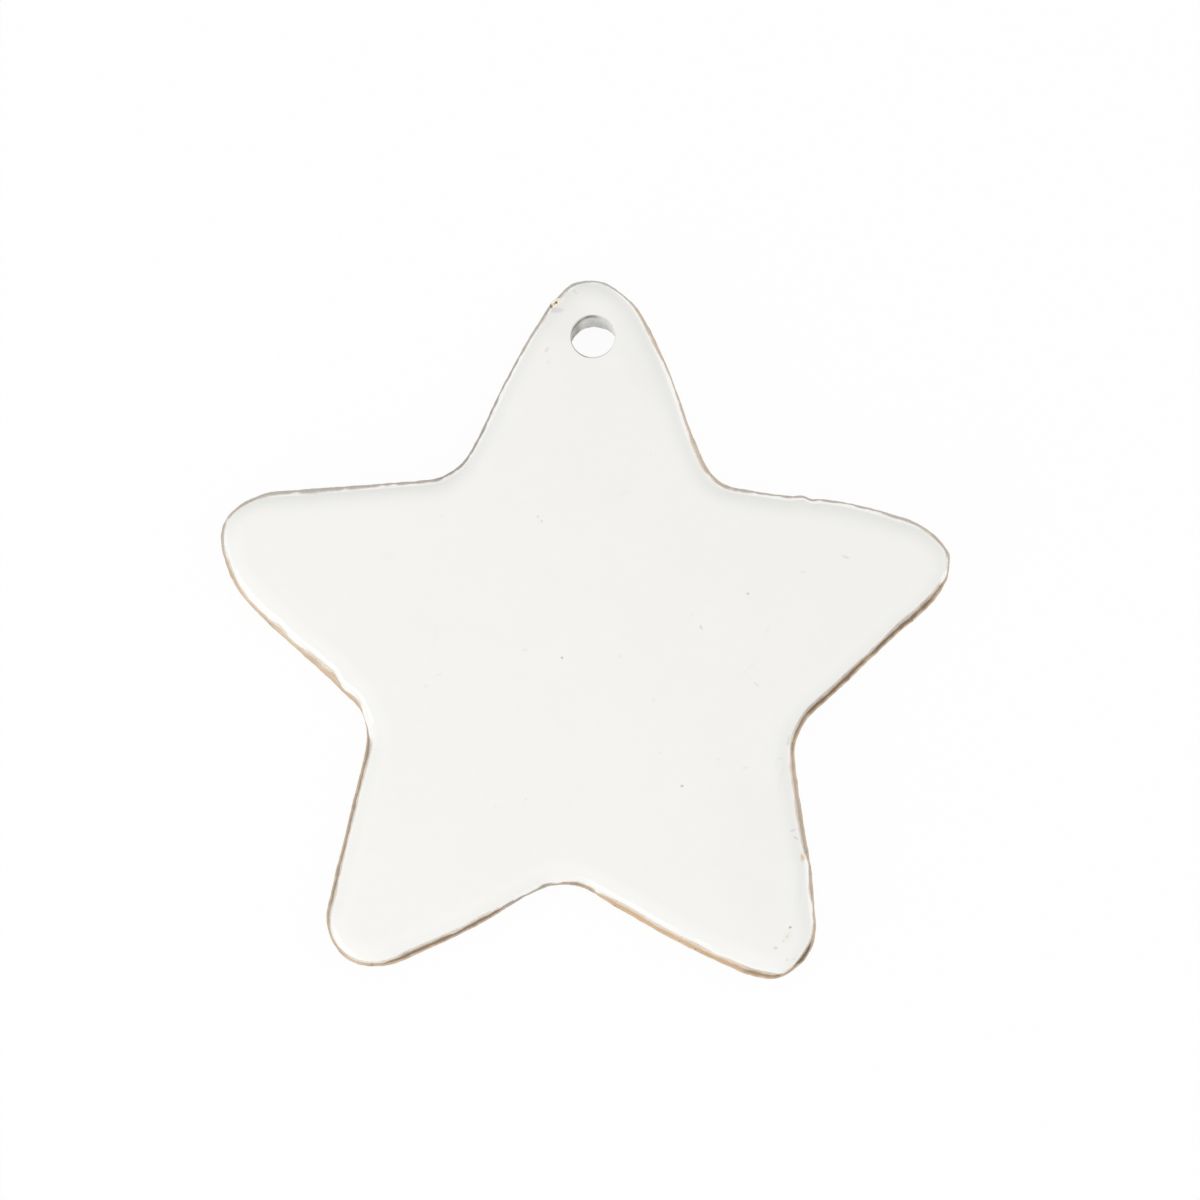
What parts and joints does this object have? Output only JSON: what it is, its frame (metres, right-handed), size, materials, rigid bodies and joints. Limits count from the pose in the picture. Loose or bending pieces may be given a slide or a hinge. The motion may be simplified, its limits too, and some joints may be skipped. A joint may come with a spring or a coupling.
{
  "type": "star ornament",
  "caption": "Flat glazed clay star with rounded tips, a bare clay foot along its edge and a hanging hole in the top arm.",
  "frame": {"origin": "the star's centre on its flat back, where the lines through the tips cross", "axes": "+Z out of the glazed front, +Y towards the arm with the hanging hole, +X to the right seen from the front"},
  "size_m": [0.08, 0.0768, 0.006],
  "materials": {
    "bare_clay": "matt fired buff clay, slightly gritty",
    "white_glaze": "glossy white glaze with faint specks and pinholes"
  },
  "bodies": {
    "root": {"clay_body": "bare_clay", "glaze_coat": "white_glaze"}
  },
  "joints": []
}
